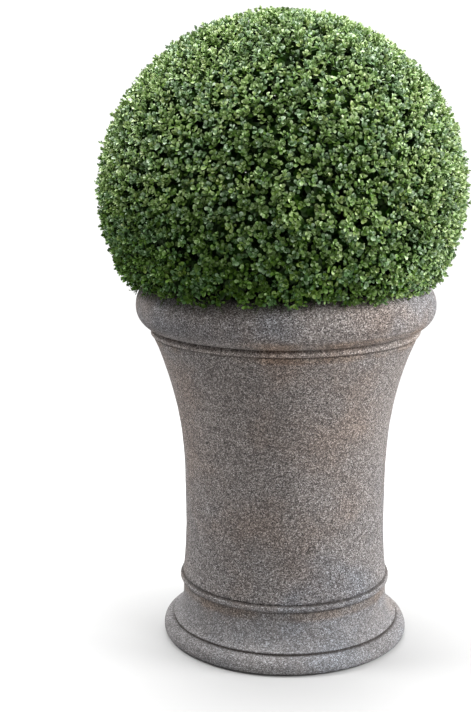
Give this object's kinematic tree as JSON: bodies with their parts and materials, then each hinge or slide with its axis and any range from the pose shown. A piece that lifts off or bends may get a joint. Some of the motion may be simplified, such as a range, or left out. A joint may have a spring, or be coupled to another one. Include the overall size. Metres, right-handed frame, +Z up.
{
  "type": "box topiary ball in a planter",
  "caption": "Clipped ball of small-leaved box growing in a tall waisted cast-stone planter with a rolled rim, a bead and a flared foot.",
  "frame": {"origin": "middle of the planter's flat underside, on the planter's axis", "axes": "+Z up along the planter's axis, -Y towards the viewer, +X to the viewer's right; the crown's centre lies 8 mm towards -X from the axis"},
  "size_m": [0.7141, 0.7121, 1.273],
  "materials": {
    "cast_stone": "matt cast granite aggregate, taupe grey with fine dark and pale grains",
    "potting_mix": "damp crumbly bark and peat mix",
    "bark": "rough ridged bark",
    "box_leaf": "slightly waxy leaves"
  },
  "bodies": {
    "root": {"planter": "cast_stone", "potting_mix": "potting_mix", "stem": "bark", "foliage_ball": "box_leaf"}
  },
  "joints": []
}
